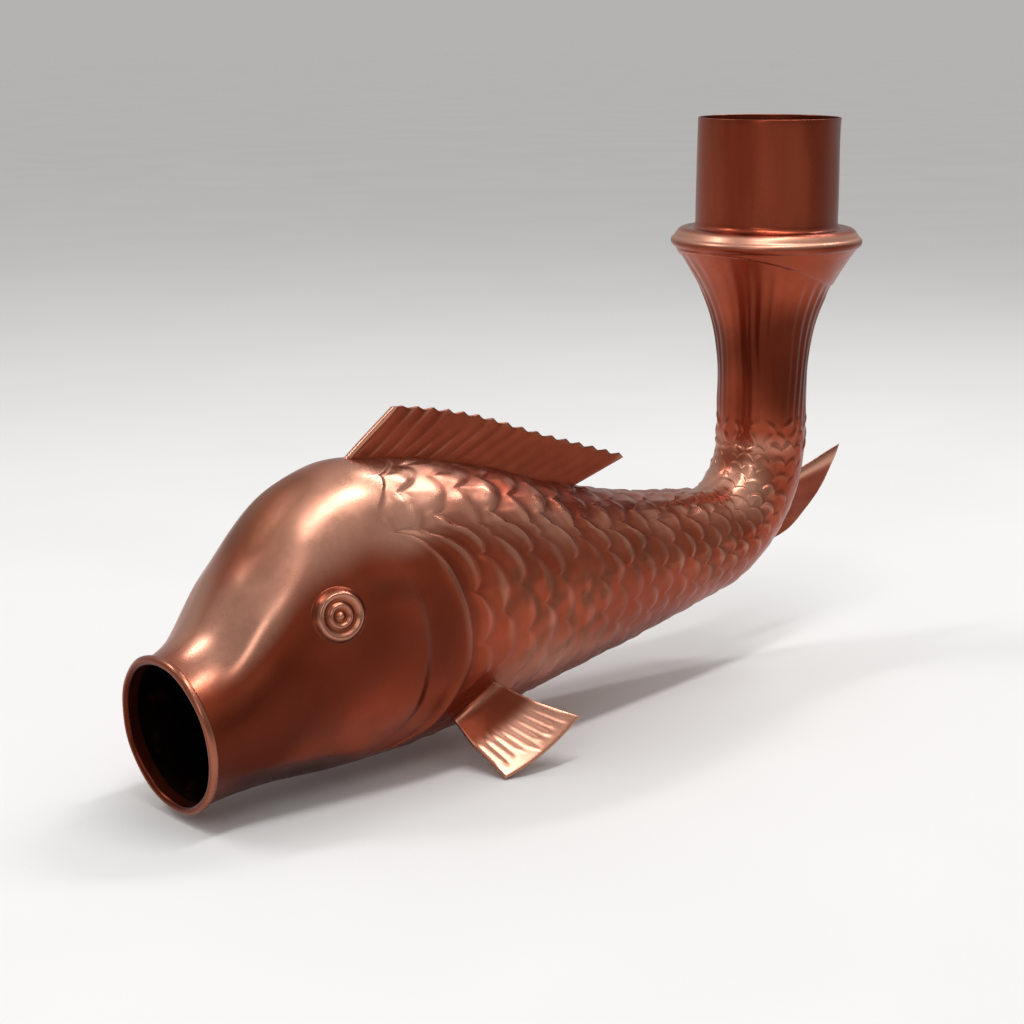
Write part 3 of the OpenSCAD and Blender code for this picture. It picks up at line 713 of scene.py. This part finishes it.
def closed_plate(front, back):
    """Points and faces of a plate between two grids of points."""
    nr, nc = front.shape[:2]
    n = nr * nc
    first, final = np.arange(nc), (nr - 1) * nc + np.arange(nc)
    left, right = np.arange(nr) * nc, np.arange(nr) * nc + nc - 1

    def rim(u, flip):
        quads = np.stack([u[:-1], u[1:], n + u[1:], n + u[:-1]], -1)
        return (quads[:, ::-1] if flip else quads).tolist()

    faces = (grid_quads(nr, nc) + grid_quads(nr, nc, n, flip=True) + rim(first, True)
             + rim(final, False) + rim(left, False) + rim(right, True))
    return np.vstack([front.reshape(-1, 3), back.reshape(-1, 3)]), faces


def edged(n, width, rim=6):
    """Shares from 0 to 1 that crowd at both ends over the given width."""
    turn = np.linspace(0, np.pi / 2, rim + 1)
    end = width * (1 - np.cos(turn))
    return np.concatenate([end[:-1], np.linspace(width, 1 - width, n), 1 - end[::-1][1:]])


def rounded(x, width):
    """Half-round edge: 0 at the ends of the share x and 1 further in than width."""
    near = np.minimum(x, 1 - x) / width
    return np.sqrt(1 - (1 - clip01(near)) ** 2)


def outer_round(v, width):
    """Half-round outer edge of a fin: 1 up to the last share of that width."""
    return np.maximum(0.1, arch(clip01((v - 1 + width) / width)))


def fin_normals(mid):
    """Unit vectors square to a grid of points."""
    across = np.cross(np.gradient(mid, axis=0), np.gradient(mid, axis=1))
    return across / np.linalg.norm(across, axis=-1, keepdims=True)


def add_fin(name, mid, half, wear_and_painted_light):
    """A fin from its middle face, and the half thickness and the painted sheen and shade, partly
    real wear, at every point.
    """
    normal = fin_normals(mid)
    points, faces = closed_plate(mid + normal * half[..., None], mid - normal * half[..., None])
    # Thick ridges are painted pale and thin grooves dark: painted highlight and shade.
    tone = 2.5 * np.stack([half - soften(half, 3, 5)] * 2)
    wear_and_painted_light = np.stack([wear_and_painted_light + 0 * half] * 2)
    return add_piece(name, points, faces, FIN_COPPER, tone, wear_and_painted_light, 60)


DORSAL_AT = 142.0
DORSAL_L = 190.0
DORSAL_H = 33.0
DORSAL_LEAN = 40.0
DORSAL_TIP = 50.0
DORSAL_RAYS = 16
DORSAL_T = 3.6
TOOTH_H = 2.4
DORSAL_BEAD_R = 1.75


def add_dorsal():
    """The fin on the back: a beaded front edge, slanting rays and a toothed top."""
    u = edged(DORSAL_RAYS * 12 + 1, 0.010)
    v = np.concatenate([[-0.12], edged(24, 0.03, 4)])
    uu, vv = np.meshgrid(u, v)
    part = (uu * DORSAL_RAYS) % 1
    saw = np.minimum(part / 0.68, (1 - part) / 0.32) ** 1.2 * lerp(0.5, 1, ease(uu / 0.25))
    tooth = TOOTH_H * saw * ease((vv - 0.75) / 0.25)
    s = DORSAL_AT + uu * DORSAL_L
    tip_s = s + lerp(DORSAL_LEAN, DORSAL_TIP, uu)
    foot = skin(s, 0.0, 0.1)
    top = skin(tip_s, 0.0, DORSAL_H * (1 - 0.25 * uu ** 4) + tooth)
    mid = lerp(foot, top, vv[..., None])
    mid[..., 1] = 0.7 * ripples(mid, 70, 11) * clip01(vv)
    streak = ripples(np.stack([uu * 190, vv * 9, 0 * uu], -1), 9, 31)
    crest = bell((part - 0.5) / 0.3)
    depth = lerp(0.26, 0.05, ease(uu * 1.3)) * ease(vv / 0.12 + 0.2)
    half = DORSAL_T / 2 * (1 - depth * (1 - crest) + 0.32 * depth * streak)
    half = half * lerp(0.92, 0.7, clip01(vv))
    bead = arch((uu * DORSAL_L - 2.0) / 2.0)
    edge = np.maximum(0.06, rounded(uu, 0.010)) * outer_round(vv, 0.03)
    half = np.maximum(half * edge, DORSAL_BEAD_R * np.maximum(bead, 0.06) * (uu * DORSAL_L < 4.0))
    # The bead is painted with sheen and the plate a little darker, partly real polish and
    # tarnish.
    return add_fin("dorsal_fin", mid, half, 1.0 * (uu * DORSAL_L < 4.4) - 0.25)


# Angles round the bend where the root starts and ends, and where the tip ends
ANAL_FROM = 42.0
ANAL_TO = 70.0
ANAL_TIP_TO = 84.0
ANAL_L = 60.0
ANAL_RAYS = 6
ANAL_T = 4.0


def add_anal():
    """The leaf under the tail, on the outer side of the bend."""
    u = edged(41, 0.05)
    v = edged(25, 0.04, 4)
    v = np.concatenate([[-0.1], v])
    uu, vv = np.meshgrid(u, v)
    at = BODY_L + np.radians(lerp(ANAL_FROM, ANAL_TO, uu) - PITCH) * BEND_R
    root = skin(at, 180.0, 0.1)
    tip_a = np.radians(lerp(ANAL_FROM, ANAL_TIP_TO, uu))
    tip_r = BEND_R + lerp(SECTIONS[9, 2], NECK_R, 0.7) + 1 + ANAL_L * uu ** 0.75
    tip = np.stack([-BEND_R + tip_r * np.sin(tip_a), 0 * uu, NECK_Z - tip_r * np.cos(tip_a)], -1)
    mid = lerp(root, tip, vv[..., None])
    mid[..., 1] = 0.5 * ripples(mid, 45, 12) * clip01(vv)
    part = (uu * ANAL_RAYS) % 1
    crest = 0.5 - 0.5 * np.cos(2 * np.pi * part)
    half = ANAL_T / 2 * (0.78 + 0.1 * crest) * lerp(1, 0.6, clip01(vv))
    half = half + 0.5 * bell(vv / 0.13) + 0.6 * bell((uu - 0.93) / 0.06)
    half = half * np.maximum(0.12, rounded(uu, 0.05)) * outer_round(vv, 0.04)
    # Sheen is painted on the rear edge and the root, the rest a little darker, partly real polish
    # and tarnish.
    wear_and_painted_light = bell((uu - 0.94) / 0.09) + 0.5 * bell(vv / 0.16) - 0.3
    return add_fin("anal_fin", mid, half, wear_and_painted_light)


FAN_FRONT = np.array([0.14, -0.72, -0.68])
FAN_REAR = np.array([0.67, -0.57, -0.48])
FAN_BEND = np.array([0.0, -10.0, 9.0])
FAN_BEND_AT = 0.45
FAN_RAYS = 9
PECTORAL_T = 2.6


def add_pectoral(name, side, seed):
    """One fan under the flank, with a soft bend across its rays."""
    u = edged(FAN_RAYS * 12 + 1, 0.03)
    v = edged(40, 0.025, 5)
    v = np.concatenate([[-0.06], v])
    uu, vv = np.meshgrid(u, v)
    foot = skin(PECTORAL_AT + uu * PECTORAL_ROOT_L, PECTORAL_ANGLE - uu * PECTORAL_RISE)
    way = lerp(FAN_FRONT, FAN_REAR, uu[..., None])
    way = way / np.linalg.norm(way, axis=-1, keepdims=True)
    share = lerp(0.91, 1, uu)
    past = vv - FAN_BEND_AT
    turned = 0.5 * (past + np.sqrt(past ** 2 + 0.07 ** 2))
    mid = foot + way * (PECTORAL_L * vv * share)[..., None] + FAN_BEND * turned[..., None]
    wave = 0.35 * ripples(mid * (1, -side, 1), 40, seed) * clip01(vv)
    mid = mid + fin_normals(mid) * wave[..., None]
    part = (uu * FAN_RAYS) % 1
    crest = 0.5 - 0.5 * np.cos(2 * np.pi * part)
    ends = 0.04 * ripples(np.stack([uu * 90, 0 * uu, 0 * uu], -1), 12, seed)
    depth = 0.30 * ease((vv - 0.38 - ends) / 0.2) * (1 - ease((vv - 0.80 - ends) / 0.12))
    half = PECTORAL_T / 2 * (1 - depth * (1 - crest))
    half = half + 0.45 * bell((vv - 0.05) / 0.05)
    half = half * np.maximum(0.12, rounded(uu, 0.03)) * outer_round(vv, 0.025)
    if side > 0:
        mid = mid * (1, -1, 1)
    # Sheen is painted on the outer half, where it turns up to the light, and a little on the
    # root: painted highlight.
    wear_and_painted_light = 0.75 * ease((vv - FAN_BEND_AT + 0.12) / 0.24) + 0.3 * bell((vv - 0.05) / 0.05) + 0.08
    return add_fin(name, mid, half, wear_and_painted_light)


# Reach of the cheek's fitted surface and its unit, then the rings of the eye: share of
# its radius and height over the cheek
EYE_FIT_REACH = 26.0
EYE_FIT_UNIT = 20.0
EYE_RINGS = ((0, 4.6), (0.2, 2.7), (0.36, 4.3), (0.5, 2.8), (0.73, 5.0), (1.0, 0.0))


def eye_profile():
    """Profile of the disc as (radius, height over the cheek), with its hidden back."""
    share = np.linspace(1, 0, 60)
    rings = np.stack([share * (EYE_R - 0.2), through(EYE_RINGS, share)], -1)
    return np.vstack([[[0, -2], [EYE_R - 0.4, -2], [EYE_R, -0.8]], rings])


def cheek_height(x, y, foot, frame_axes):
    """Height of the relief of the cheek over the plane of the eye at x and y, from a
    smooth surface fitted to the skin around the eye."""
    reach = np.linspace(-EYE_FIT_REACH, EYE_FIT_REACH, 40)
    s, a = np.meshgrid(EYE_AT + reach, EYE_ANGLE + reach)
    near = (skin(s, a, head_relief(s / head_edge(a), a)) - foot) @ frame_axes

    def terms(u, v):
        return np.stack([u ** i * v ** j for i in range(6) for j in range(6 - i)], -1)

    across, up, height = (near[..., k].ravel() for k in range(3))
    known = terms(across / EYE_FIT_UNIT, up / EYE_FIT_UNIT)
    fit = np.linalg.lstsq(known, height, rcond=None)[0]
    return terms(x / EYE_FIT_UNIT, y / EYE_FIT_UNIT) @ fit


def add_eye(name, side):
    """The ringed disc of one eye, bent to the curve of the cheek."""
    foot = skin(EYE_AT, EYE_ANGLE)
    along = skin(EYE_AT + 1, EYE_ANGLE) - skin(EYE_AT - 1, EYE_ANGLE)
    axis = np.cross(skin(EYE_AT, EYE_ANGLE + 1) - skin(EYE_AT, EYE_ANGLE - 1), along)
    axis = axis / np.linalg.norm(axis)
    along = along / np.linalg.norm(along)
    axes = np.stack([along, np.cross(axis, along), axis], 1)
    points = revolve(refine(eye_profile(), 1.2), 128)
    x, y, z = points[..., 0], points[..., 1], points[..., 2]
    radius = np.hypot(x, y)
    inner = np.minimum(1, EYE_R / np.maximum(radius, 0.01))
    bent = cheek_height(x * inner, y * inner, foot, axes)
    points = np.stack([x, y, z + bent], -1) @ axes.T + foot
    faces = grid_quads(*points.shape[:2], wrap=True)
    if side > 0:
        points = points * (1, -1, 1)
        faces = [face[::-1] for face in faces]
    # Raised rings are painted pale and grooves dark: painted highlight and shade.
    tone = 0.36 * z - 0.8
    return add_piece(name, points, faces, RIM_COPPER, tone, sharp=45)


def add_collar():
    """The tube, its flared rim and the bead, slightly dented."""
    r = BORE_R + SHEET
    fillet, angle = FILLET_R, FLANGE_ANGLE
    tilt = np.radians(angle)
    nose_z = -COLLAR_H + BEAD_R * np.sin(np.radians(NOSE_ANGLE))
    swing = 1 - np.cos(tilt)
    flange = NOSE_R - BEAD_R * swing - r - fillet * swing
    fillet_z = nose_z + (BEAD_R + fillet) * np.sin(tilt) + flange / np.tan(tilt)

    def line(d):
        inner_bend = arc(r + fillet, fillet_z, fillet + d, 180, 180 + angle, 12)
        bead = arc(NOSE_R - BEAD_R, nose_z, BEAD_R - d, angle, -NOSE_ANGLE, 24)
        t = np.linspace(0, 1, 14)[1:-1, None]
        bulge = FLANGE_BULGE * (4 * t * (1 - t)) ** 1.2
        flange_line = lerp(inner_bend[-1], bead[0], t) + bulge * unit(angle)
        return np.vstack([inner_bend, flange_line, bead])

    lip = arc(r - SHEET / 2, -SHEET / 2, SHEET / 2, 180, 0, 6)
    seam = [[SEAM_R - SHEET / np.cos(np.radians(NOSE_ANGLE)), -COLLAR_H]]
    profile = np.vstack([lip, line(0), seam, line(SHEET)[::-1]])
    points = revolve(refine(profile, 4.0), 192)
    radius = np.hypot(points[..., 0], points[..., 1])[..., None]
    flat = points * (1, 1, 0.45)
    dent = 0.42 * ripples(flat, 52, 15) + 0.16 * ripples(points * (1, 1, 0.3), 21, 16)
    z = points[..., 2]
    quiet = ease(-z / 6 + 0.35) * ease((z + COLLAR_H) / 8)
    out = points * (1, 1, 0) / radius
    points = points + out * (dent * quiet)[..., None]
    faces = grid_quads(*points.shape[:2], flip=True, wrap=True)
    # The flange band is painted with sheen: painted highlight.
    wear_and_painted_light = ease((z - COLLAR_BAND) / 6) * ease((-COLLAR_H + 14 - z) / 4)
    # The side of the tube turned from the lamps is painted darker: painted shade.
    shaded = (0.74 * points[..., :1] - 0.67 * points[..., 1:2]) / radius
    wear_and_painted_light = wear_and_painted_light - 0.5 * ease((shaded[..., 0] - 0.1) / 0.7) * (1 - wear_and_painted_light)
    return add_piece("inlet_collar", points, faces, COLLAR_COPPER,
                     wear_and_painted_light=wear_and_painted_light, sharp=60)


def add_mouth_rim():
    """The rolled lip with its sleeve, turned to the pitch of the body."""
    lip_r, drop = LIP_R, 0.7 * LIP_R
    sleeve_r = SECTIONS[0, 3] - SHEET - SLEEVE_STEP
    lip_end = 360 + np.degrees(np.arcsin(drop / lip_r))
    lip = arc(sleeve_r - SHEET + lip_r, -drop, lip_r, 180, lip_end, 40)
    sleeve = [[sleeve_r, 0], [sleeve_r, SLEEVE_L], [sleeve_r - SHEET, SLEEVE_L]]
    profile = np.vstack([sleeve, lip])
    line = refine(profile, 1.5)
    points = revolve(line, 192)
    outward = (np.hypot(points[..., 0], points[..., 1]) - sleeve_r + SHEET - lip_r) / lip_r
    turn = np.radians(90 - PITCH)
    start = skin(0.0, 90.0) * (1, 0, 1)
    x, y, z = points[..., 0], points[..., 1], points[..., 2]
    points = np.stack([x * np.cos(turn) + z * np.sin(turn), y,
                       z * np.cos(turn) - x * np.sin(turn)], -1)
    radial = points / np.linalg.norm(points, axis=-1, keepdims=True)
    points = points + radial * (0.28 * ripples(points, 34, 17))[..., None]
    points = points + start
    faces = grid_quads(*points.shape[:2], wrap=True)
    # The inner side of the lip is painted dark, painted shade, and its outer roll a little pale,
    # painted sheen.
    wear_and_painted_light = lerp(-1, 0.35, ease(outward / 1.3 + 0.5))
    piece = add_piece("mouth_rim", points, faces, RIM_COPPER, wear_and_painted_light=wear_and_painted_light)
    # The inside of the sleeve is painted near-black: painted shade.
    piece.data.materials.append(INNER_SHADE)
    between = (line + np.roll(line, -1, 0)) / 2
    inside = (between[:, 0] < sleeve_r - SHEET / 2) & (between[:, 1] > -drop)
    slots = np.repeat(inside.astype(int), points.shape[1])
    piece.data.polygons.foreach_set("material_index", slots)
    return piece


add_half("body_left", -1, 5)
add_half("body_right", 1, 6)
add_dorsal()
add_anal()
add_pectoral("pectoral_fin_left", -1, 13)
add_pectoral("pectoral_fin_right", 1, 14)
add_eye("eye_left", -1)
add_eye("eye_right", 1)
add_collar()
add_mouth_rim()


# Floor, light, camera

FLOOR_HALF = 30.0
FLOOR_GAP = 0.0005
FLOOR_TONES = ((0.78, 0.775, 0.767), (0.80, 0.795, 0.787))


def add_floor():
    """A wide pale floor just under the object."""
    half = FLOOR_HALF
    z = CAD_BOX[0][2] - FLOOR_GAP
    corners = [(-half, -half, z), (half, -half, z), (half, half, z), (-half, half, z)]
    mesh = bpy.data.meshes.new("floor")
    mesh.from_pydata(corners, [], [(0, 1, 2, 3)])
    material = bpy.data.materials.new("floor")
    material.use_nodes = True
    tree = material.node_tree
    shader = tree.nodes["Principled BSDF"]
    coords = node_of(tree, "ShaderNodeTexCoord").outputs["Object"]
    grain = noise(tree, coords, 260, 2, 0.5)
    colour = mixed(tree, ranged(tree, grain, 0.3, 0.7, 0, 1), *FLOOR_TONES)
    tree.links.new(colour, shader.inputs["Base Color"])
    shader.inputs["Roughness"].default_value = 0.9
    mesh.materials.append(material)
    floor = bpy.data.objects.new("floor", mesh)
    bpy.context.scene.collection.objects.link(floor)


def add_lamp(name, target, way, distance, width, depth, radiance, along=(1, 0, 0)):
    """A soft panel at a distance from the target, its width lying along a direction."""
    lamp = bpy.data.lights.new(name, "AREA")
    lamp.shape = "RECTANGLE"
    lamp.size, lamp.size_y = width, depth
    lamp.energy = 4 * radiance * width * depth
    way = Vector(way).normalized()
    side = (Vector(along) - way * way.dot(Vector(along))).normalized()
    up = way.cross(side)
    panel = bpy.data.objects.new(name, lamp)
    panel.matrix_world = Matrix((side, up, way)).transposed().to_4x4()
    panel.location = Vector(target) + way * distance
    bpy.context.scene.collection.objects.link(panel)


# Brightness of the studio: sine of the elevation, then strength
SKY = ((0.0, 0.455), (0.15, 0.47), (0.5, 0.56), (0.9, 0.78))
# The side of the camera is a little darker than the side behind the object, except
# along the horizon: what it loses, and the sines of the elevations where that starts
# and is full
BEHIND = (0.67, 0.74)
SIDE_LOSS = (-0.28, 0.0)
SIDE_HEIGHTS = (0.02, 0.16)


def add_world():
    """A pale soft studio, brighter overhead than at the sides."""
    world = bpy.data.worlds.new("studio")
    bpy.context.scene.world = world
    world.use_nodes = True
    tree = world.node_tree
    way = node_of(tree, "ShaderNodeTexCoord").outputs["Generated"]
    parts = node_of(tree, "ShaderNodeSeparateXYZ")
    ramp = node_of(tree, "ShaderNodeValToRGB")
    tree.links.new(way, parts.inputs[0])
    tree.links.new(parts.outputs["Z"], ramp.inputs["Fac"])
    for k, (height, strength) in enumerate(SKY):
        stop = ramp.color_ramp.elements[k] if k < 2 else ramp.color_ramp.elements.new(height)
        stop.position = height
        stop.color = (strength, 0.988 * strength, 0.97 * strength, 1)
    behind = summed(tree, summed(tree, parts.outputs["X"], BEHIND[0], "MULTIPLY"),
                    summed(tree, parts.outputs["Y"], BEHIND[1], "MULTIPLY"))
    side = ranged(tree, behind, -0.7, 0.7, *SIDE_LOSS)
    above = ranged(tree, parts.outputs["Z"], *SIDE_HEIGHTS, 0, 1)
    strength = summed(tree, 1, summed(tree, side, above, "MULTIPLY"))
    background = tree.nodes["Background"]
    tree.links.new(strength, background.inputs["Strength"])
    tree.links.new(ramp.outputs["Color"], background.inputs["Color"])


# Panels over the object: name, way from the target, distance, width, depth, radiance, side
TARGET = (-0.36, -0.03, -0.22)
LAMPS = (
    ("lamp_top", (0.02, -0.23, 0.97), 2.2, 1.9, 0.21, 13.5, (1, 0.12, 0)),
    ("lamp_snout", (-0.38, 0.51, 0.77), 2.2, 1.0, 0.18, 13.0, (0.54, 0.08, 0.20)),
    ("lamp_rear", (0.66, 0.08, 0.75), 2.2, 0.9, 0.22, 13.0, (0.31, -0.33, -0.19)),
    ("lamp_front", (-0.72, -0.48, 0.50), 2.2, 1.2, 0.6, 1.5, (0.5, -0.1, 0.4)),
)


CAMERA_AT = (-1.1132, -0.9605, 0.0592)
CAMERA_AZIMUTH = -42.0
CAMERA_ELEVATION = 13.5
LENS_MM = 70.3125
SENSOR_MM = 36.0


def add_camera():
    """The camera that was fitted to the photograph."""
    lens = bpy.data.cameras.new("camera")
    lens.sensor_width = SENSOR_MM
    lens.lens = LENS_MM
    lens.clip_end = 100.0
    camera = bpy.data.objects.new("camera", lens)
    camera.location = CAMERA_AT
    azimuth, elevation = np.radians(CAMERA_AZIMUTH), np.radians(CAMERA_ELEVATION)
    camera.rotation_euler = (np.pi / 2 - elevation, 0.0, azimuth)
    bpy.context.scene.collection.objects.link(camera)
    bpy.context.scene.camera = camera


bpy.context.scene.view_settings.view_transform = "Standard"
add_floor()
for lamp_name, way, distance, width, depth, radiance, along in LAMPS:
    add_lamp(lamp_name, TARGET, way, distance, width, depth, radiance, along)
add_world()
add_camera()
